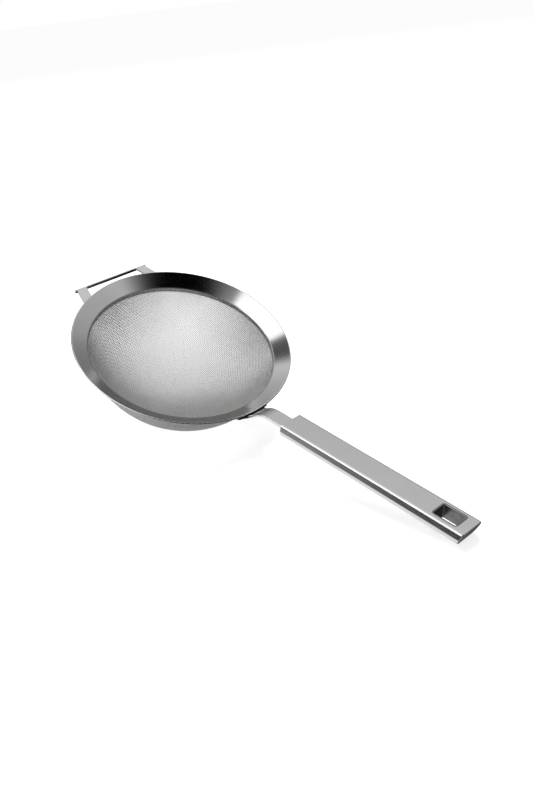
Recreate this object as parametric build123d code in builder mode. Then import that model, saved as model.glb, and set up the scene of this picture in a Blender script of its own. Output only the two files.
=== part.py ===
from build123d import *
from math import acos, asin, atan2, cos, degrees, hypot, radians, sin, tan
import os

# A handled tea strainer in pressed stainless steel: a conical rim carries a bowl of woven wire
# cloth, a rest bracket stands out on one side and a hollow handle on the other.
# The strainer lies as it does on a table, on the crown of its bowl and on the end of its handle.
# Sizes are in millimetres. Heights are counted from the plane of the rim's outer edge.

# Rim: a conical ring whose inner edge turns down into a short collar.
rim_radius = 49.7
opening_radius = 42.4
rim_drop = 4.4
rim_sheet = 0.8
collar_height = 2.0
rim_bend_radius = 1.0
rim_edge_radius = 0.36

# Wire cloth bowl, held round the outside of the collar by the clamp ring.
cloth_thickness = 0.4
bowl_depth = 31.2
knuckle_radius = 5.0
cloth_fit = 0.04
clamp_ring_wall = 0.7
clamp_ring_height = 1.8
clamp_ring_margin = 0.5

# Neck: a flat strip, flared where it is welded under the rim, that climbs to the handle.
neck_thickness = 1.2
neck_width = 7.4
neck_edge_radius = 0.35
flare_width = 16.2
flare_setback = 0.72
flare_sweep = 5.2
neck_dip = 0.25
neck_climb_angle = 45.0
neck_crest_height = 5.4
neck_run_to_handle = 13.6
neck_foot_radius = 2.0
neck_crest_radius = 12.0
weld_gap = 0.05

# Handle: two pressed half shells welded along their sides, closed at the back end.
handle_rise_angle = 16.0
handle_length = 91.2
handle_top_width = 11.4
handle_width = 12.3
handle_bottom_width = 11.5
handle_height = 6.4
handle_wall = 0.7
handle_top_radius = 1.1
handle_bottom_radius = 2.8
handle_end_angle = 22.0
handle_end_radius = 0.6
handle_cover = 2.5
parting_depth = 2.9
plug_length = 4.0
plug_recess = 0.4
plug_fit = 0.04
tang_length = 24.0

# Hanging hole: a rectangular sleeve through both half shells.
hole_length = 9.9
hole_width = 6.5
hole_corner_radius = 0.6
hole_end_distance = 5.3
sleeve_wall = 0.7
sleeve_edge_radius = 0.3
sleeve_fit = 0.03

# Rest bracket: two splayed arms and a turned-down lip, pressed from one sheet.
bracket_sheet = 0.9
bracket_reach = 6.2
bracket_seat_length = 2.3
lip_half_width = 20.4
lip_height = 1.7
lip_edge_radius = 0.6
arm_half_spread = 19.5
arm_width = 5.2
arm_splay_angle = 14.0

# What follows from the sizes above.
cone_angle = degrees(atan2(rim_drop, rim_radius - opening_radius))
cone_slope = tan(radians(cone_angle))
sheet_drop = rim_sheet / cos(radians(cone_angle))
collar_radius = opening_radius + rim_sheet
collar_end = -rim_drop - collar_height
cloth_inner_radius = collar_radius + cloth_fit
cloth_radius = cloth_inner_radius + cloth_thickness
clamp_radius = cloth_radius + cloth_fit
crown_rise = bowl_depth - knuckle_radius
crown_radius = (bowl_depth**2 + cloth_radius**2 - 2 * cloth_radius * knuckle_radius) / (2 * crown_rise)
crown_angle = degrees(asin((cloth_radius - knuckle_radius) / (crown_radius - knuckle_radius)))
crown_centre = collar_end - bowl_depth + crown_radius


def underside(radius):
    """Height of the rim's conical underside at a distance from the rim's axis."""
    return (radius - rim_radius) * cone_slope - sheet_drop


cloth_top = underside(collar_radius) - cloth_fit

# Neck centre line in the rim's own frame, as points on its upper face.
weld_start = clamp_radius + clamp_ring_wall + clamp_ring_margin
flare_end = rim_radius - flare_setback
neck_start_point = (weld_start, underside(weld_start) - weld_gap)
neck_seat_point = (flare_end, underside(flare_end) - weld_gap)
neck_foot_point = (rim_radius, neck_seat_point[1] + neck_dip)
climb_run = (neck_crest_height - neck_foot_point[1]) / tan(radians(neck_climb_angle))
neck_crest_point = (rim_radius + climb_run, neck_crest_height)
along_x = cos(radians(handle_rise_angle))
along_z = sin(radians(handle_rise_angle))
tang_run = neck_run_to_handle + tang_length
tang_point = (neck_crest_point[0] + tang_run * along_x, neck_crest_point[1] + tang_run * along_z)
mouth_x = neck_crest_point[0] + neck_run_to_handle * along_x - handle_cover * along_z
mouth_z = neck_crest_point[1] + neck_run_to_handle * along_z + handle_cover * along_x

# The end of the handle's underside touches the table together with the bowl's crown.
undercut = handle_height * tan(radians(handle_end_angle))
heel_run = handle_length - undercut
heel_x = mouth_x + heel_run * along_x + handle_height * along_z
heel_z = mouth_z + heel_run * along_z - handle_height * along_x
heel_distance = hypot(heel_x, heel_z - crown_centre)
heel_direction = degrees(atan2(heel_x, heel_z - crown_centre))
rest_angle = degrees(acos(-crown_radius / heel_distance)) - heel_direction
rest_height = crown_radius - crown_centre * cos(radians(rest_angle))
handle_angle = handle_rise_angle - rest_angle


def tilted(origin, angle):
    """Plane whose X axis points along the strainer and climbs by an angle in degrees."""
    slope = radians(angle)
    return Plane(origin=origin, x_dir=(cos(slope), 0, sin(slope)), z_dir=(-sin(slope), 0, cos(slope)))


def upright(plane):
    """Plane through the same origin that holds the plane's X axis and its normal."""
    return Plane(origin=plane.origin, x_dir=plane.x_dir, z_dir=(0, -1, 0))


rim_plane = tilted((0, 0, rest_height), -rest_angle)
rim_section = upright(rim_plane)
rim_axis = Axis(rim_plane.origin, rim_plane.z_dir)
handle_plane = tilted(rim_plane.from_local_coords(Vector(mouth_x, 0, mouth_z)), handle_angle)
handle_axis = Axis(handle_plane.origin, handle_plane.x_dir)
handle_mouth = Plane(origin=handle_plane.origin, x_dir=(0, 1, 0), z_dir=handle_plane.x_dir)
handle_tip = handle_plane.from_local_coords(Vector(handle_length, 0, 0))

# Rim
with BuildPart() as rim:
    with BuildSketch(rim_section) as rim_profile:
        with BuildLine():
            edge_point = (
                rim_radius + rim_sheet * sin(radians(cone_angle)),
                -rim_sheet * cos(radians(cone_angle)),
            )
            upper_line = FilletPolyline(
                (rim_radius, 0),
                (opening_radius, -rim_drop),
                (opening_radius, collar_end),
                radius=rim_bend_radius,
            )
            lower_line = FilletPolyline(
                edge_point,
                (collar_radius, underside(collar_radius)),
                (collar_radius, collar_end),
                radius=rim_bend_radius - rim_sheet,
            )
            Line(upper_line @ 0, lower_line @ 0)
            Line(upper_line @ 1, lower_line @ 1)
        make_face()
        fillet(rim_profile.vertices().sort_by(Axis.X)[-2:], rim_edge_radius)
    revolve(axis=rim_axis)

# Wire cloth bowl: an upright band, a knuckle and a spherical crown.
with BuildPart() as mesh_bowl:
    for inset, mode in ((0, Mode.ADD), (cloth_thickness, Mode.SUBTRACT)):
        with BuildSketch(rim_section):
            with BuildLine():
                band_radius = cloth_radius - inset
                band = Line((band_radius, cloth_top), (band_radius, collar_end))
                knuckle = CenterArc(
                    (cloth_radius - knuckle_radius, collar_end),
                    knuckle_radius - inset,
                    0,
                    crown_angle - 90,
                )
                crown = CenterArc(
                    (0, crown_centre), crown_radius - inset, crown_angle - 90, -crown_angle
                )
                Polyline(crown @ 1, (0, cloth_top), band @ 0)
            make_face()
        revolve(axis=rim_axis, mode=mode)

# Ring that clamps the cloth on the collar.
with BuildPart() as clamp_ring:
    with BuildSketch(rim_plane.offset(cloth_top - clamp_ring_height)):
        Circle(clamp_radius + clamp_ring_wall)
        Circle(clamp_radius, mode=Mode.SUBTRACT)
    extrude(amount=clamp_ring_height)

# Neck: the bent strip's side view, cut to its outline from above.
with BuildPart() as neck:
    with BuildSketch(rim_section):
        with BuildLine():
            FilletPolyline(
                neck_start_point,
                neck_seat_point,
                neck_foot_point,
                neck_crest_point,
                tang_point,
                radius=(neck_foot_radius, neck_foot_radius, neck_crest_radius),
            )
            offset(amount=neck_thickness, side=Side.RIGHT, closed=True)
        make_face()
    extrude(amount=flare_width / 2, both=True)
    with BuildSketch(rim_plane.offset(-rim_radius)):
        with BuildLine():
            flare_side = Line((weld_start, flare_width / 2), (flare_end, flare_width / 2))
            sweep_curve = EllipticalCenterArc(
                (flare_end + flare_sweep, flare_width / 2),
                flare_sweep,
                (flare_width - neck_width) / 2,
                start_angle=180,
                arc_size=90,
            )
            strip_side = Line(sweep_curve @ 1, (tang_point[0] + rim_radius, neck_width / 2))
            Polyline(
                strip_side @ 1,
                (tang_point[0] + rim_radius, 0),
                (weld_start, 0),
                flare_side @ 0,
            )
        make_face()
        mirror(about=Plane.XZ)
    extrude(amount=3 * rim_radius, mode=Mode.INTERSECT)
    fillet(neck.edges(), neck_edge_radius)


def handle_blank(inset):
    """Solid handle, or the hollow inside its walls when inset is the wall's thickness."""
    with BuildPart() as blank:
        with BuildSketch(handle_mouth) as section:
            with BuildLine():
                Polyline(
                    (handle_top_width / 2, 0),
                    (handle_width / 2, -parting_depth),
                    (handle_bottom_width / 2, -handle_height),
                    (-handle_bottom_width / 2, -handle_height),
                    (-handle_width / 2, -parting_depth),
                    (-handle_top_width / 2, 0),
                    close=True,
                )
            make_face()
            fillet(section.vertices().group_by(Axis.Y)[-1], handle_top_radius)
            fillet(section.vertices().group_by(Axis.Y)[0], handle_bottom_radius)
            if inset > 0:
                offset(amount=-inset, kind=Kind.INTERSECTION, mode=Mode.REPLACE)
        extrude(amount=handle_length + handle_height)
        end_slope = radians(handle_angle - handle_end_angle)
        end_normal = Vector(cos(end_slope), 0, sin(end_slope))
        split(bisect_by=Plane(handle_tip - end_normal * inset, z_dir=end_normal), keep=Keep.BOTTOM)
        if inset == 0:
            fillet(blank.faces().sort_by(handle_axis)[-1].edges(), handle_end_radius)
    return blank.part


# Hollow handle with the hole for the sleeve, before it is parted into two half shells.
hole_centre_x = handle_length - hole_end_distance - hole_length / 2
with BuildPart() as handle_shell:
    add(handle_blank(0))
    add(handle_blank(handle_wall), mode=Mode.SUBTRACT)
    with BuildSketch(handle_plane):
        with Locations((hole_centre_x, 0)):
            RectangleRounded(
                hole_length + 2 * (sleeve_wall + sleeve_fit),
                hole_width + 2 * (sleeve_wall + sleeve_fit),
                hole_corner_radius + sleeve_wall + sleeve_fit,
            )
    extrude(amount=-handle_height, mode=Mode.SUBTRACT)

parting_plane = handle_plane.offset(-parting_depth)
with BuildPart() as handle_upper_shell:
    add(handle_shell.part)
    split(bisect_by=parting_plane, keep=Keep.TOP)

with BuildPart() as handle_lower_shell:
    add(handle_shell.part)
    split(bisect_by=parting_plane, keep=Keep.BOTTOM)

# Plug that closes the handle's mouth round the neck.
with BuildPart() as mouth_plug:
    add(handle_blank(handle_wall + plug_fit))
    split(bisect_by=handle_mouth.offset(plug_recess), keep=Keep.TOP)
    split(bisect_by=handle_mouth.offset(plug_recess + plug_length), keep=Keep.BOTTOM)
    with BuildSketch(handle_mouth):
        with Locations((0, -handle_cover - neck_thickness / 2)):
            Rectangle(neck_width + 2 * plug_fit, neck_thickness + 2 * plug_fit)
    extrude(amount=plug_recess + plug_length, mode=Mode.SUBTRACT)

# Sleeve that lines the hanging hole.
with BuildPart() as hanging_sleeve:
    with BuildSketch(handle_plane):
        with Locations((hole_centre_x, 0)):
            RectangleRounded(
                hole_length + 2 * sleeve_wall,
                hole_width + 2 * sleeve_wall,
                hole_corner_radius + sleeve_wall,
            )
            RectangleRounded(hole_length, hole_width, hole_corner_radius, mode=Mode.SUBTRACT)
    extrude(amount=-handle_height)
    rims = hanging_sleeve.faces().sort_by(Axis(handle_plane.origin, handle_plane.z_dir))
    fillet([rims[0].inner_wires()[0].edges(), rims[-1].inner_wires()[0].edges()], sleeve_edge_radius)

# Rest bracket: a bent ring of sheet cut down to the two arms, with the lip across their ends.
lip_x = rim_radius + bracket_reach
bracket_seat_radius = weld_start + bracket_seat_length
bracket_top = underside(bracket_seat_radius) - weld_gap
arm_run = lip_x - weld_start / 2
arm_spread = arm_run * tan(radians(arm_splay_angle))
with BuildPart() as rest_bracket:
    with BuildSketch(rim_section):
        with BuildLine():
            Polyline(
                neck_start_point,
                (bracket_seat_radius, bracket_top),
                (rim_radius + lip_x, bracket_top),
            )
            offset(amount=bracket_sheet, side=Side.RIGHT, closed=True)
        make_face()
    revolve(axis=rim_axis)
    with BuildSketch(rim_plane.offset(-rim_radius)):
        with BuildLine():
            Polyline(
                (-lip_x + bracket_sheet / 2, arm_half_spread),
                (-lip_x + arm_run, arm_half_spread + arm_spread),
                (-lip_x + arm_run, arm_half_spread + arm_spread - arm_width),
                (-lip_x + bracket_sheet / 2, arm_half_spread - arm_width),
                close=True,
            )
        make_face()
        mirror(about=Plane.XZ)
    extrude(amount=2 * rim_radius, mode=Mode.INTERSECT)
    with BuildSketch(rim_plane.offset(bracket_top)):
        with Locations((-lip_x + bracket_sheet / 2, 0)):
            Rectangle(bracket_sheet, 2 * lip_half_width)
    extrude(amount=-lip_height)
    outer_face = rest_bracket.faces().sort_by(Axis(rim_plane.origin, rim_plane.x_dir))[0]
    lip_edges = outer_face.edges().sort_by(Axis(rim_plane.origin, rim_plane.z_dir))
    fillet(lip_edges[-1], lip_edge_radius)

pieces = {
    "rim": rim,
    "mesh_bowl": mesh_bowl,
    "clamp_ring": clamp_ring,
    "neck": neck,
    "handle_upper_shell": handle_upper_shell,
    "handle_lower_shell": handle_lower_shell,
    "mouth_plug": mouth_plug,
    "hanging_sleeve": hanging_sleeve,
    "rest_bracket": rest_bracket,
}
# The origin lies on the table, under the middle of the whole strainer.
whole = Compound([piece.part for piece in pieces.values()]).bounding_box()
os.makedirs("parts", exist_ok=True)
for name, piece in pieces.items():
    piece.part.move(Location((-whole.center().X, 0, 0)))
    piece.part.label = name
    export_step(piece.part, f"parts/{name}.step")
print("rest angle", round(rest_angle, 3), "rest height", round(rest_height, 3))
print("middle", round(whole.center().X, 3), "size", whole.size)
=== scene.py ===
"""Tea strainer in pressed stainless steel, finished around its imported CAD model.

The file is laid out as an add-on. Run as a script, it builds the woven wire bowl, gives every
CAD piece its steel finish and sets up the studio. Lengths are in metres.
"""

import math

import bpy
import numpy as np
from bpy.props import FloatProperty, FloatVectorProperty, IntProperty, PointerProperty
from mathutils import Matrix, Vector


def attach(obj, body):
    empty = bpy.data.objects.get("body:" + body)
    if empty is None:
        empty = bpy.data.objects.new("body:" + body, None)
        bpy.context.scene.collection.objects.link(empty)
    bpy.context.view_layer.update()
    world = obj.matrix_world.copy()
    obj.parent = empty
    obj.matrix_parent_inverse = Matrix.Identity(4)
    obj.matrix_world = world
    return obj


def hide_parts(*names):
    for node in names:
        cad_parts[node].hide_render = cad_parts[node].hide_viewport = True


bl_info = {
    "name": "Tea Strainer",
    "version": (1, 0, 0),
    "blender": (4, 5, 0),
    "location": "View3D > Sidebar > Tea Strainer",
    "description": "Woven wire bowl, steel finishes and studio for a handled tea strainer",
    "category": "Object",
}

BODY = "root"

# Four faces round a wire, so that one four-cornered face closes each end.
WIRE_SIDES = 4
# The part of a noise's range that its values mostly fill.
NOISE_LOW, NOISE_HIGH = 0.2, 0.8
# How far a pattern darkens the steel's colour.
DARKEST_SHADE = 0.94

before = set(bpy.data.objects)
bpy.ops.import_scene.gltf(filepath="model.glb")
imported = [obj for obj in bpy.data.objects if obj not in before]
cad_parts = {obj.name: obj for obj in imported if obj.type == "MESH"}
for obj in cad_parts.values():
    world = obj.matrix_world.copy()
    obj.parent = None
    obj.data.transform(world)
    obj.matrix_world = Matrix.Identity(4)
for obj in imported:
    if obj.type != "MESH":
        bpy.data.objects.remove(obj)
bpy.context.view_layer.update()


# ---------------------------------------------------------------- sizes and colours


class StrainerPlace(bpy.types.PropertyGroup):
    """Where the rim's axis stands while the strainer lies on the table."""

    tilt: FloatProperty(
        name="Rim tilt",
        description="Angle between the rim's plane and the table",
        default=math.radians(24.891),
        subtype="ANGLE",
    )
    handle_slope: FloatProperty(
        name="Handle slope",
        description="Angle between the handle's long edges and the table",
        default=math.radians(8.9),
        subtype="ANGLE",
    )
    rim_height: FloatProperty(
        name="Rim height",
        description="Height of the middle of the rim's upper edge above the table",
        default=0.038435,
        unit="LENGTH",
        precision=6,
    )
    rim_offset: FloatProperty(
        name="Rim offset",
        description="Distance of the rim's middle from the origin, along the strainer",
        default=-0.052197,
        unit="LENGTH",
        precision=6,
    )


class WireCloth(bpy.types.PropertyGroup):
    """Sizes of the woven wire bowl."""

    band_radius: FloatProperty(
        name="Band radius",
        description="Radius of the middle of the cloth where it stands round the collar",
        default=0.0435,
        unit="LENGTH",
        precision=6,
    )
    band_top: FloatProperty(
        name="Band top",
        description="Height of the cloth's upper edge from the rim's upper edge",
        default=-0.00492,
        unit="LENGTH",
        precision=6,
    )
    band_bottom: FloatProperty(
        name="Band bottom",
        description="Height where the band turns into the knuckle",
        default=-0.0064,
        unit="LENGTH",
        precision=6,
    )
    depth: FloatProperty(
        name="Depth",
        description="Depth of the bowl below the band, to the middle of the cloth",
        default=0.03085,
        unit="LENGTH",
        precision=6,
    )
    knuckle_radius: FloatProperty(
        name="Knuckle radius",
        description="Radius of the bend between the band and the crown",
        default=0.0048,
        unit="LENGTH",
        precision=6,
    )
    pitch: FloatProperty(
        name="Pitch",
        description="Distance from one wire to the next",
        default=0.0007,
        unit="LENGTH",
        precision=6,
    )
    wire: FloatProperty(
        name="Wire diameter",
        description="Diameter of one wire",
        default=0.00032,
        unit="LENGTH",
        precision=6,
    )
    parts: IntProperty(
        name="Parts",
        description="Number of pieces that the wires of one direction are kept in",
        default=2,
        min=1,
        max=6,
    )


class SteelColours(bpy.types.PropertyGroup):
    """Colours and gloss of the steel finishes."""

    polished: FloatVectorProperty(
        name="Polished steel",
        description="Colour of the polished rim, neck and bracket",
        default=(0.66, 0.66, 0.655),
        subtype="COLOR",
        size=3,
    )
    satin: FloatVectorProperty(
        name="Satin steel",
        description="Colour of the satin finished handle",
        default=(0.64, 0.64, 0.635),
        subtype="COLOR",
        size=3,
    )
    wire: FloatVectorProperty(
        name="Wire",
        description="Colour of the woven wires",
        default=(0.72, 0.72, 0.715),
        subtype="COLOR",
        size=3,
    )
    plain: FloatVectorProperty(
        name="Plain steel",
        description="Colour of the unpolished inner pieces",
        default=(0.45, 0.45, 0.445),
        subtype="COLOR",
        size=3,
    )
    # Painted shade: the sleeve's colour is darker than plain steel, standing in for the shade
    # inside the handle's hole as well as its dull finish.
    dull_and_shaded: FloatVectorProperty(
        name="Dull steel",
        description="Colour of the sleeve in the handle's hole",
        default=(0.22, 0.22, 0.218),
        subtype="COLOR",
        size=3,
    )
    polished_roughness: FloatProperty(
        name="Polished roughness",
        description="Roughness of the polished finish",
        default=0.13,
        subtype="FACTOR",
    )
    satin_roughness: FloatProperty(
        name="Satin roughness",
        description="Roughness of the satin finish",
        default=0.24,
        subtype="FACTOR",
    )


class Studio(bpy.types.PropertyGroup):
    """Floor, light and camera."""

    floor_colour: FloatVectorProperty(
        name="Floor colour",
        description="Colour of the table",
        default=(0.9, 0.9, 0.9),
        subtype="COLOR",
        size=3,
    )
    floor_radius: FloatProperty(
        name="Floor radius",
        description="Radius of the table",
        default=2.9,
        unit="LENGTH",
    )
    floor_glow: FloatProperty(
        name="Floor glow",
        description="Brightness that the camera alone sees on the table",
        default=0.7,
    )
    sky_light: FloatProperty(
        name="Room light",
        description="Strength of the light from all round",
        default=0.3,
    )
    lamp_power: FloatProperty(
        name="Lamp power",
        description="Power of the soft lamp overhead",
        default=10.0,
        unit="POWER",
    )
    lamp_size: FloatProperty(
        name="Lamp size",
        description="Diameter of the soft lamp",
        default=0.9,
        unit="LENGTH",
    )
    lamp_place: FloatVectorProperty(
        name="Lamp place",
        description="Where the soft lamp hangs, beyond the bowl",
        default=(-0.52, 0.4, 0.75),
        subtype="XYZ",
        unit="LENGTH",
        size=3,
    )
    tent_radius: FloatProperty(
        name="Tent radius",
        description="Radius of the light tent that the steel reflects",
        default=3.0,
        unit="LENGTH",
    )
    lens: FloatProperty(
        name="Lens",
        description="Focal length",
        default=40.5,
        unit="CAMERA",
    )
    camera_azimuth: FloatProperty(
        name="Camera azimuth",
        description="Direction towards the camera, round the rim's axis from the handle",
        default=math.radians(-53.4210),
        subtype="ANGLE",
    )
    camera_elevation: FloatProperty(
        name="Camera elevation",
        description="Height of the direction towards the camera, above the rim's plane",
        default=math.radians(44.8497),
        subtype="ANGLE",
    )
    camera_roll: FloatProperty(
        name="Camera roll",
        description="Turn of the camera about its own line of sight",
        default=math.radians(15.5225),
        subtype="ANGLE",
    )
    camera_place: FloatVectorProperty(
        name="Camera place",
        description="Where the camera stands in the rim's frame",
        default=(0.2137, -0.21521, 0.27668),
        subtype="XYZ",
        unit="LENGTH",
        size=3,
        precision=5,
    )


# ---------------------------------------------------------------- places


def rim_to_table(points, place, turn_only=False):
    """Carries points or directions from the rim's own frame to the table's.

    The rim's frame has its origin in the middle of the rim's upper edge, X towards the handle
    and Z along the rim's axis. It is turned about Y by the tilt t, so
    x' = x cos t + z sin t + offset, y' = y, z' = z cos t - x sin t + height.
    """
    cos, sin = math.cos(place.tilt), math.sin(place.tilt)
    turn = np.array([[cos, 0.0, sin], [0.0, 1.0, 0.0], [-sin, 0.0, cos]])
    turned = np.asarray(points, float) @ turn.T
    if turn_only:
        return turned
    return turned + np.array([place.rim_offset, 0.0, place.rim_height])


def camera_axes(azimuth, elevation, roll):
    """Right, up and backward directions of a camera, one to a row.

    With azimuth a, elevation e and roll r, backward is (cos a cos e, sin a cos e, sin e), the
    level right is (-sin a, cos a, 0), and the level up is their cross product. Right and up are
    then turned in their own plane by r.
    """
    backward = np.array(
        [
            math.cos(azimuth) * math.cos(elevation),
            math.sin(azimuth) * math.cos(elevation),
            math.sin(elevation),
        ]
    )
    right = np.array([-math.sin(azimuth), math.cos(azimuth), 0.0])
    up = np.cross(backward, right)
    cos, sin = math.cos(roll), math.sin(roll)
    return np.array([right * cos + up * sin, up * cos - right * sin, backward])


# ---------------------------------------------------------------- meshes


def quad_mesh(name, points, quads):
    """Makes a smooth mesh object from an array of points and an array of four-cornered faces."""
    mesh = bpy.data.meshes.new(name)
    mesh.vertices.add(len(points))
    mesh.vertices.foreach_set("co", np.ascontiguousarray(points, np.float32).ravel())
    mesh.loops.add(4 * len(quads))
    mesh.loops.foreach_set("vertex_index", np.ascontiguousarray(quads, np.int32).ravel())
    mesh.polygons.add(len(quads))
    mesh.polygons.foreach_set("loop_start", np.arange(0, 4 * len(quads), 4, dtype=np.int32))
    mesh.polygons.foreach_set("use_smooth", np.ones(len(quads), bool))
    mesh.update(calc_edges=True)
    mesh.validate()
    piece = bpy.data.objects.new(name, mesh)
    bpy.context.scene.collection.objects.link(piece)
    return piece


def wrapped_quads(grid):
    """Faces of a grid of points that closes round its first direction."""
    index = np.arange(grid.size).reshape(grid.shape)
    near, far = index[:, :-1], index[:, 1:]
    quads = np.stack([near, far, np.roll(far, -1, 0), np.roll(near, -1, 0)], -1)
    return quads.reshape(-1, 4)


def cloth_profile(cloth, steps=400):
    """Side line of the bowl from its lowest point to its upper edge.

    A crown of radius R, a knuckle of radius k and an upright band meet tangentially. With band
    radius b and depth d, R = (d^2 + b^2 - 2 b k) / (2 (d - k)), and the crown ends at the angle
    whose sine is (b - k) / (R - k). Returns the distance along the line, the radius, the height
    and the angle of the outward normal from straight down, each as an array.
    """
    band, depth, knuckle = cloth.band_radius, cloth.depth, cloth.knuckle_radius
    crown = (depth**2 + band**2 - 2 * band * knuckle) / (2 * (depth - knuckle))
    crown_angle = math.asin((band - knuckle) / (crown - knuckle))
    crown_length = crown * crown_angle
    knuckle_length = knuckle * (math.pi / 2 - crown_angle)
    length = crown_length + knuckle_length + cloth.band_top - cloth.band_bottom
    along = np.linspace(0.0, length, steps)
    angle = np.where(
        along < crown_length,
        along / crown,
        crown_angle + (along - crown_length) / knuckle,
    )
    angle = np.minimum(angle, math.pi / 2)
    crown_centre = cloth.band_bottom - depth + crown
    on_crown = along <= crown_length
    on_band = along >= crown_length + knuckle_length
    radius = np.where(
        on_crown, crown * np.sin(angle), band - knuckle + knuckle * np.sin(angle)
    )
    height = np.where(
        on_crown, crown_centre - crown * np.cos(angle), cloth.band_bottom - knuckle * np.cos(angle)
    )
    height = np.where(
        on_band, cloth.band_bottom + along - crown_length - knuckle_length, height
    )
    return along, radius, height, angle


def wire_numbers(cloth):
    """Numbers of the wires of one direction, from one edge of the flat cloth to the other."""
    half = int(cloth_profile(cloth)[0][-1] / cloth.pitch) + 1
    return np.arange(-half, half)


def woven_wires(name, cloth, place, wires, weft):
    """Tubes of the wires of one direction, laid over the bowl and woven over and under.

    The flat cloth has coordinates (u, v). A point at distance s from the cloth's middle goes to
    the point of the side line at length s, in the same direction, so wires that are straight in
    the flat cloth run as gentle curves up the bowl's wall. Each wire has two rings at each
    crossing, a fifth of a pitch before and after it, and the wire's middle stands out from the
    cloth by +a or -a in turn, where a is half the wire's diameter. Ring points are
    middle + r (cos q N + sin q B), with N the cloth's normal and B square to wire and normal.
    """
    line, radius, height, slope = cloth_profile(cloth)
    edge, pitch, thick = line[-1], cloth.pitch, cloth.wire / 2
    crossings = wire_numbers(cloth)
    steps = (crossings[:, None] + 0.5 + np.array([-0.2, 0.2])) * pitch
    along = steps.ravel()
    parity = np.repeat(crossings, 2)
    across = (wires + 0.5) * pitch
    u, v = np.meshgrid(along, across)
    over = np.where((parity[None, :] + wires[:, None] + weft) % 2 == 0, 1.0, -1.0)
    inside = u**2 + v**2 < edge**2
    distance = np.minimum(np.hypot(u, v), edge)
    turn = np.arctan2(u, v) if weft else np.arctan2(v, u)
    r, z, a = (np.interp(distance, line, values) for values in (radius, height, slope))
    normal = np.stack([np.sin(a) * np.cos(turn), np.sin(a) * np.sin(turn), -np.cos(a)], -1)
    middle = np.stack([r * np.cos(turn), r * np.sin(turn), z], -1)
    middle = middle + normal * (over * thick)[..., None]
    heading = np.gradient(middle, axis=1)
    side = np.cross(heading, normal)
    side /= np.linalg.norm(side, axis=-1, keepdims=True)
    q = (np.arange(WIRE_SIDES) + 0.5) * 2 * math.pi / WIRE_SIDES
    rings = middle[:, :, None] + thick * (
        np.cos(q)[None, None, :, None] * normal[:, :, None]
        + np.sin(q)[None, None, :, None] * side[:, :, None]
    )
    index = np.arange(rings[..., 0].size).reshape(rings.shape[:3])
    a0, b0 = index[:, :-1], index[:, 1:]
    walls = np.stack([a0, np.roll(a0, -1, 2), np.roll(b0, -1, 2), b0], -1)
    walls = walls[inside[:, :-1] & inside[:, 1:]].reshape(-1, 4)
    count = inside.sum(1)
    rows = np.nonzero(count > 1)[0]
    first = inside.argmax(1)[rows]
    last = first + count[rows] - 1
    start_caps, end_caps = index[rows, first][:, ::-1], index[rows, last]
    quads = np.concatenate([walls, start_caps, end_caps])
    used, quads = np.unique(quads, return_inverse=True)
    points = rim_to_table(rings.reshape(-1, 3)[used], place)
    return quad_mesh(name, points, quads.reshape(-1, 4))


# ---------------------------------------------------------------- materials


class Nodes:
    """Small helper that adds nodes to a tree and links them."""

    def __init__(self, tree):
        self.tree = tree
        tree.nodes.clear()

    def add(self, kind, inputs=None, **settings):
        """Adds a node, sets its properties, and sets or links its inputs."""
        node = self.tree.nodes.new(kind)
        for key, value in settings.items():
            setattr(node, key, value)
        for key, value in (inputs or {}).items():
            if isinstance(value, bpy.types.NodeSocket):
                self.tree.links.new(value, node.inputs[key])
            else:
                node.inputs[key].default_value = value
        return node

    def maths(self, operation, a, b=0.0, c=0.0):
        """Output of a Math node."""
        node = self.add("ShaderNodeMath", {0: a, 1: b, 2: c}, operation=operation)
        return node.outputs[0]

    def fade(self, value, start, end, low, high):
        """Output of a smooth Map Range node."""
        return self.add(
            "ShaderNodeMapRange",
            {
                "Value": value,
                "From Min": start,
                "From Max": end,
                "To Min": low,
                "To Max": high,
            },
            interpolation_type="SMOOTHSTEP",
        ).outputs["Result"]

    def noise(self, vector, scale, detail=2.0, roughness=0.5):
        """Output of a Noise Texture node."""
        return self.add(
            "ShaderNodeTexNoise",
            {"Vector": vector, "Scale": scale, "Detail": detail, "Roughness": roughness},
        ).outputs["Fac"]

    def mixed(self, first, second, share):
        """Sum of two values, with the share of the first."""
        rest = self.maths("MULTIPLY", second, 1.0 - share)
        return self.maths("MULTIPLY_ADD", first, share, rest)

    def object_place(self, offset=(0, 0, 0), turn=(0, 0, 0), scale=(1, 1, 1)):
        """Object coordinates, moved, turned and then scaled."""
        place = self.add("ShaderNodeTexCoord").outputs["Object"]
        moved = self.add(
            "ShaderNodeMapping",
            {"Vector": place, "Location": offset, "Rotation": turn},
        ).outputs["Vector"]
        return self.add(
            "ShaderNodeMapping", {"Vector": moved, "Scale": scale}
        ).outputs["Vector"]


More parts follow.
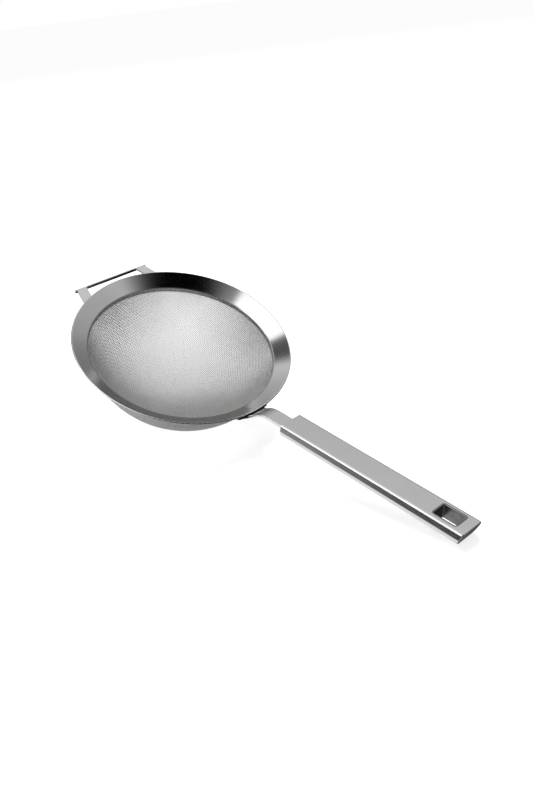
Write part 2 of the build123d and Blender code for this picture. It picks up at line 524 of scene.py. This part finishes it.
def steel_material(name, colour, pattern, *, roughness, spread, relief=0.0, metal=1.0, painted_shade=None):
    """Steel with brush lines or blotches from a pattern function.

    pattern(nodes) gives a value from 0 to 1. It moves the roughness by +-spread, shades the
    colour a little, and stands out by relief metres as a bump. metal is the share of the light
    that it mirrors. The last argument, where given, is a function of nodes that gives a factor
    of painted shade, which darkens the colour.
    """
    material = bpy.data.materials.new(name)
    material.use_nodes = True
    nodes = Nodes(material.node_tree)
    value = pattern(nodes)
    shade = nodes.fade(value, NOISE_LOW, NOISE_HIGH, DARKEST_SHADE, 1.0)
    # Painted shade, where given, darkens the colour.
    if painted_shade:
        shade = nodes.maths("MULTIPLY", shade, painted_shade(nodes))
    tint = nodes.add(
        "ShaderNodeVectorMath", {0: tuple(colour), "Scale": shade}, operation="SCALE"
    ).outputs[0]
    rough = nodes.fade(value, NOISE_LOW, NOISE_HIGH, roughness + spread, roughness - spread)
    bump = nodes.add(
        "ShaderNodeBump", {"Height": value, "Strength": 1.0, "Distance": relief}
    ).outputs["Normal"]
    shader = nodes.add(
        "ShaderNodeBsdfPrincipled",
        {"Base Color": tint, "Roughness": rough, "Metallic": metal, "Normal": bump},
    )
    nodes.add("ShaderNodeOutputMaterial", {"Surface": shader.outputs[0]})
    return material


def about_rim(nodes, place):
    """Place in the rim's own frame, and its distance from the rim's axis."""
    lying = nodes.object_place(offset=(-place.rim_offset, 0.0, -place.rim_height))
    local = nodes.add(
        "ShaderNodeMapping", {"Vector": lying, "Rotation": (0.0, -place.tilt, 0.0)}
    ).outputs["Vector"]
    split = nodes.add("ShaderNodeSeparateXYZ", {0: local})
    x, y = split.outputs["X"], split.outputs["Y"]
    square = nodes.maths("MULTIPLY_ADD", x, x, nodes.maths("MULTIPLY", y, y))
    return local, split, nodes.maths("SQRT", square)


def painted_gap_shade(place, start, end, darkest):
    """Painted shade for the dark gap beside the rim, fading from one radius to the next."""

    def painted_shade(nodes):
        radius = about_rim(nodes, place)[2]
        return nodes.fade(radius, start, end, darkest, 1.0)

    return painted_shade


def turned_lines(place):
    """Fine concentric lines about the rim's axis, crossed by a faint slow mottle."""

    def pattern(nodes):
        local, split, radius = about_rim(nodes, place)
        turned = nodes.add(
            "ShaderNodeCombineXYZ", {"X": radius, "Y": split.outputs["Z"]}
        ).outputs[0]
        lines = nodes.noise(turned, scale=2600.0, detail=3.0)
        mottle = nodes.noise(local, scale=90.0, detail=3.0)
        return nodes.mixed(mottle, lines, share=0.45)

    return pattern


def brushed_lines(turn, stretch, scale):
    """Short brush lines along the turned X axis, over a faint slow mottle."""

    def pattern(nodes):
        fine = nodes.object_place(turn=(0.0, turn, 0.0), scale=stretch)
        lines = nodes.noise(fine, scale=scale, detail=4.0, roughness=0.6)
        mottle = nodes.noise(nodes.object_place(), scale=120.0)
        return nodes.mixed(mottle, lines, share=0.3)

    return pattern


def drawn_mottle(scale):
    """Soft blotches left by drawing and annealing."""

    def pattern(nodes):
        return nodes.noise(nodes.object_place(), scale=scale, detail=3.0)

    return pattern


def finish_cad(material, *names):
    """Puts a material on every slot of the named CAD pieces."""
    for name in names:
        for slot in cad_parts[name].material_slots:
            slot.material = material


# ---------------------------------------------------------------- operators


class STRAINER_OT_wire_bowl(bpy.types.Operator):
    """Weave the bowl's wires and put them in place of the plain bowl"""

    bl_idname = "strainer.wire_bowl"
    bl_label = "Wire Bowl"

    def execute(self, context):
        scene = context.scene
        cloth, place, steel = scene.strainer_cloth, scene.strainer_place, scene.strainer_steel
        material = steel_material(
            "drawn_wire",
            steel.wire,
            drawn_mottle(scale=260.0),
            roughness=0.42,
            spread=0.04,
            metal=0.75,
        )
        wires = wire_numbers(cloth)
        # Wires near the middle are longer, so the parts take the wires in turn.
        for weft, label in ((0, "warp"), (1, "weft")):
            for part in range(cloth.parts):
                chosen = wires[wires % cloth.parts == part]
                piece = woven_wires(f"{label}_wires_{part + 1}", cloth, place, chosen, weft)
                piece.data.materials.append(material)
                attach(piece, BODY)
                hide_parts("mesh_bowl")
        return {"FINISHED"}


class STRAINER_OT_rim_finish(bpy.types.Operator):
    """Give the rim its turned mirror finish"""

    bl_idname = "strainer.rim_finish"
    bl_label = "Rim Finish"

    def execute(self, context):
        scene = context.scene
        steel, place = scene.strainer_steel, scene.strainer_place
        material = steel_material(
            "turned_mirror_steel",
            steel.polished,
            turned_lines(place),
            roughness=steel.polished_roughness,
            spread=0.025,
            relief=0.0000012,
        )
        finish_cad(material, "rim")
        return {"FINISHED"}


class STRAINER_OT_neck_finish(bpy.types.Operator):
    """Polish the neck and the rest bracket, and paint shade on the neck beside the rim"""

    bl_idname = "strainer.neck_finish"
    bl_label = "Neck and Bracket Finish"

    def execute(self, context):
        steel, place = context.scene.strainer_steel, context.scene.strainer_place
        # Painted shade: the neck goes almost black just outside the rim's edge, standing in for
        # the shaded gap under the rim.
        neck_gap_shade = painted_gap_shade(place, start=0.0505, end=0.0515, darkest=0.03)
        for name, painted_shade in (("neck", neck_gap_shade), ("rest_bracket", None)):
            material = steel_material(
                f"polished_strip_{name}",
                steel.polished,
                brushed_lines(turn=0.0, stretch=(1.0, 6.0, 6.0), scale=200.0),
                roughness=steel.polished_roughness,
                spread=0.04,
                relief=0.000002,
                painted_shade=painted_shade,
            )
            finish_cad(material, name)
        return {"FINISHED"}


class STRAINER_OT_handle_finish(bpy.types.Operator):
    """Give the handle's shells, its sleeve and the hidden pieces their finishes"""

    bl_idname = "strainer.handle_finish"
    bl_label = "Handle Finish"

    def execute(self, context):
        steel, place = context.scene.strainer_steel, context.scene.strainer_place
        satin = steel_material(
            "satin_brushed_steel",
            steel.satin,
            brushed_lines(turn=-place.handle_slope, stretch=(1.0, 22.0, 22.0), scale=160.0),
            roughness=steel.satin_roughness,
            spread=0.05,
            relief=0.000004,
        )
        finish_cad(satin, "handle_upper_shell", "handle_lower_shell")
        # Painted shade: the sleeve's dark colour stands in partly for the shade in the handle's
        # hole, partly for its dull finish.
        dull_and_shaded = steel_material(
            "dull_and_shaded_drawn_steel",
            steel.dull_and_shaded,
            drawn_mottle(scale=420.0),
            roughness=0.3,
            spread=0.1,
            relief=0.000006,
        )
        finish_cad(dull_and_shaded, "hanging_sleeve")
        plain = steel_material(
            "plain_rolled_steel",
            steel.plain,
            drawn_mottle(scale=300.0),
            roughness=0.4,
            spread=0.08,
            relief=0.000004,
        )
        finish_cad(plain, "clamp_ring", "mouth_plug")
        return {"FINISHED"}


def lit_directions(nodes, patches, rise):
    """Brightness of the light tent as a function of direction.

    The ground value follows the height of the direction through the stops of rise. Each patch
    is a soft disc round a direction: (azimuth, elevation, inner, outer, level) in degrees.
    """
    place = nodes.add("ShaderNodeTexCoord").outputs["Object"]
    way = nodes.add("ShaderNodeVectorMath", {0: place}, operation="NORMALIZE").outputs[0]
    height = nodes.add("ShaderNodeSeparateXYZ", {0: way}).outputs["Z"]
    value = nodes.maths("ADD", rise[0][1], 0.0)
    for (low, before), (high, after) in zip(rise, rise[1:]):
        step = nodes.fade(height, low, high, 0.0, after - before)
        value = nodes.maths("ADD", value, step)
    for azimuth, elevation, inner, outer, level in patches:
        a, e = math.radians(azimuth), math.radians(elevation)
        centre = (math.cos(a) * math.cos(e), math.sin(a) * math.cos(e), math.sin(e))
        near = nodes.add(
            "ShaderNodeVectorMath", {0: way, 1: centre}, operation="DOT_PRODUCT"
        ).outputs["Value"]
        share = nodes.fade(
            near, math.cos(math.radians(outer)), math.cos(math.radians(inner)), 0.0, 1.0
        )
        value = nodes.add(
            "ShaderNodeMix", {"Factor": share, "A": value, "B": level}, data_type="FLOAT"
        ).outputs["Result"]
    return value


# Brightness by height, from straight down to straight up.
TENT_RISE = (
    (-1.0, 0.3),
    (-0.6, 0.24),
    (-0.3, 0.45),
    (-0.1, 0.2),
    (0.05, 0.17),
    (0.2, 0.18),
    (0.3, 0.26),
    (0.36, 0.3),
    (0.43, 0.46),
    (0.53, 0.53),
    (0.8, 0.83),
)
# Soft discs in degrees: azimuth, elevation, inner and outer angle, brightness. A later one lies
# over an earlier one.
TENT_PATCHES = (
    (-25.0, 15.0, 34.0, 62.0, 0.12),  # dim room behind the camera
    (-5.0, 54.0, 10.0, 36.0, 0.0),  # black card, for the rim's far edge
    (-30.0, 83.0, 8.0, 20.0, 0.2),  # gap in the tent's roof
    (178.0, 57.0, 3.0, 13.0, 0.08),  # small dark card, for the rim's right
    (-148.0, 67.0, 8.0, 11.0, 1.7),  # softboxes, for the rim's highlight
    (-98.0, 73.0, 8.0, 11.0, 1.7),
    (-165.0, -50.0, 28.0, 41.0, 1.1),  # lit table, for the handle's lower side
    (66.0, -44.0, 20.0, 40.0, 0.02),  # dark below, for the hole's walls
    (-110.0, -14.0, 14.0, 21.0, 0.0),  # dark strip, for the handle's side
    (-119.0, 30.0, 21.0, 26.0, 2.0),  # softbox, for the handle's long edge
)


class STRAINER_OT_studio(bpy.types.Operator):
    """Build the floor, the lights, the light tent and the camera"""

    bl_idname = "strainer.studio"
    bl_label = "Studio"

    def execute(self, context):
        scene = context.scene
        studio, place = scene.strainer_studio, scene.strainer_place
        self.floor(studio)
        self.tent(studio)
        self.lights(scene, studio)
        self.camera(scene, studio, place)
        scene.view_settings.view_transform = "Standard"
        return {"FINISHED"}

    def floor(self, studio):
        """A plain round table, a disc of grid points r (cos q, sin q)."""
        rings, turns = np.meshgrid(
            np.linspace(0.0, 1.0, 24) ** 2 * studio.floor_radius,
            np.linspace(0.0, 2 * math.pi, 97)[:-1],
        )
        points = np.stack(
            [rings * np.cos(turns), rings * np.sin(turns), np.zeros_like(rings)], -1
        )
        table = quad_mesh("table", points.reshape(-1, 3), wrapped_quads(rings))
        material = bpy.data.materials.new("pale_table")
        material.use_nodes = True
        nodes = Nodes(material.node_tree)
        seen = nodes.add("ShaderNodeLightPath").outputs["Is Camera Ray"]
        diffuse = nodes.add("ShaderNodeBsdfDiffuse", {"Color": (*studio.floor_colour, 1.0)})
        strength = nodes.maths("MULTIPLY", seen, studio.floor_glow)
        glow = nodes.add("ShaderNodeEmission", {"Strength": strength})
        surface = nodes.add("ShaderNodeAddShader", {0: diffuse.outputs[0], 1: glow.outputs[0]})
        nodes.add("ShaderNodeOutputMaterial", {"Surface": surface.outputs[0]})
        table.data.materials.append(material)
        table.visible_glossy = False

    def tent(self, studio):
        """A closed light tent that only the steel's reflections see.

        It is a sphere of radius R, R (cos e cos a, cos e sin a, sin e).
        """
        rise, turn = np.meshgrid(
            np.linspace(-math.pi / 2, math.pi / 2, 33),
            np.linspace(0.0, 2 * math.pi, 65)[:-1],
        )
        points = studio.tent_radius * np.stack(
            [np.cos(rise) * np.cos(turn), np.cos(rise) * np.sin(turn), np.sin(rise)], -1
        )
        tent = quad_mesh("light_tent", points.reshape(-1, 3), wrapped_quads(rise)[:, ::-1])
        material = bpy.data.materials.new("tent_cloth")
        material.use_nodes = True
        nodes = Nodes(material.node_tree)
        level = lit_directions(nodes, TENT_PATCHES, TENT_RISE)
        glow = nodes.add("ShaderNodeEmission", {"Strength": level}).outputs[0]
        nodes.add("ShaderNodeOutputMaterial", {"Surface": glow})
        material.cycles.emission_sampling = "NONE"
        tent.data.materials.append(material)
        for ray in ("camera", "diffuse", "transmission", "volume_scatter", "shadow"):
            setattr(tent, f"visible_{ray}", False)

    def lights(self, scene, studio):
        """White backdrop, even room light, and one large soft lamp."""
        world = bpy.data.worlds.new("studio_room")
        scene.world = world
        world.use_nodes = True
        nodes = Nodes(world.node_tree)
        path = nodes.add("ShaderNodeLightPath").outputs
        mirrored = nodes.maths("MAXIMUM", path["Is Glossy Ray"], path["Is Transmission Ray"])
        seen = nodes.maths("MAXIMUM", path["Is Camera Ray"], mirrored)
        strength = nodes.add(
            "ShaderNodeMix", {"Factor": seen, "A": studio.sky_light, "B": 1.0}, data_type="FLOAT"
        ).outputs["Result"]
        back = nodes.add(
            "ShaderNodeBackground", {"Color": (1.0, 1.0, 1.0, 1.0), "Strength": strength}
        ).outputs[0]
        nodes.add("ShaderNodeOutputWorld", {"Surface": back})
        lamp = bpy.data.lights.new("soft_lamp", "AREA")
        lamp.shape = "DISK"
        lamp.size = studio.lamp_size
        lamp.energy = studio.lamp_power
        holder = bpy.data.objects.new("soft_lamp", lamp)
        holder.location = studio.lamp_place
        holder.rotation_euler = Vector(studio.lamp_place).to_track_quat("Z", "Y").to_euler()
        holder.visible_glossy = False
        scene.collection.objects.link(holder)

    def camera(self, scene, studio, place):
        """A camera above the near side, whose place and axes are set in the rim's frame."""
        axes = camera_axes(studio.camera_azimuth, studio.camera_elevation, studio.camera_roll)
        camera = bpy.data.cameras.new("camera")
        camera.lens = studio.lens
        camera.sensor_width = 36.0
        holder = bpy.data.objects.new("camera", camera)
        matrix = np.eye(4)
        matrix[:3, :3] = rim_to_table(axes, place, turn_only=True).T
        matrix[:3, 3] = rim_to_table(studio.camera_place, place)
        holder.matrix_world = Matrix(matrix.tolist())
        scene.collection.objects.link(holder)
        scene.camera = holder


class STRAINER_PT_panel(bpy.types.Panel):
    """Lists the strainer's pieces and sizes"""

    bl_label = "Tea Strainer"
    bl_idname = "STRAINER_PT_panel"
    bl_space_type = "VIEW_3D"
    bl_region_type = "UI"
    bl_category = "Tea Strainer"

    def draw(self, context):
        layout = self.layout
        for operator in OPERATORS:
            layout.operator(operator.bl_idname)
        for label, name in (
            ("Place", "strainer_place"),
            ("Wire cloth", "strainer_cloth"),
            ("Steel", "strainer_steel"),
            ("Studio", "strainer_studio"),
        ):
            box = layout.box()
            box.label(text=label)
            group = getattr(context.scene, name)
            for key in group.__annotations__:
                box.prop(group, key)


GROUPS = {
    "strainer_place": StrainerPlace,
    "strainer_cloth": WireCloth,
    "strainer_steel": SteelColours,
    "strainer_studio": Studio,
}
OPERATORS = (
    STRAINER_OT_wire_bowl,
    STRAINER_OT_rim_finish,
    STRAINER_OT_neck_finish,
    STRAINER_OT_handle_finish,
    STRAINER_OT_studio,
)


def register():
    """Registers the settings, the operators and the panel."""
    for name, group in GROUPS.items():
        bpy.utils.register_class(group)
        setattr(bpy.types.Scene, name, PointerProperty(type=group))
    for part in (*OPERATORS, STRAINER_PT_panel):
        bpy.utils.register_class(part)


def unregister():
    """Removes what register added."""
    for part in reversed((*OPERATORS, STRAINER_PT_panel)):
        bpy.utils.unregister_class(part)
    for name, group in GROUPS.items():
        delattr(bpy.types.Scene, name)
        bpy.utils.unregister_class(group)


def main():
    """Builds everything in order."""
    register()
    bpy.ops.strainer.wire_bowl()
    bpy.ops.strainer.rim_finish()
    bpy.ops.strainer.neck_finish()
    bpy.ops.strainer.handle_finish()
    bpy.ops.strainer.studio()


if __name__ == "__main__":
    main()
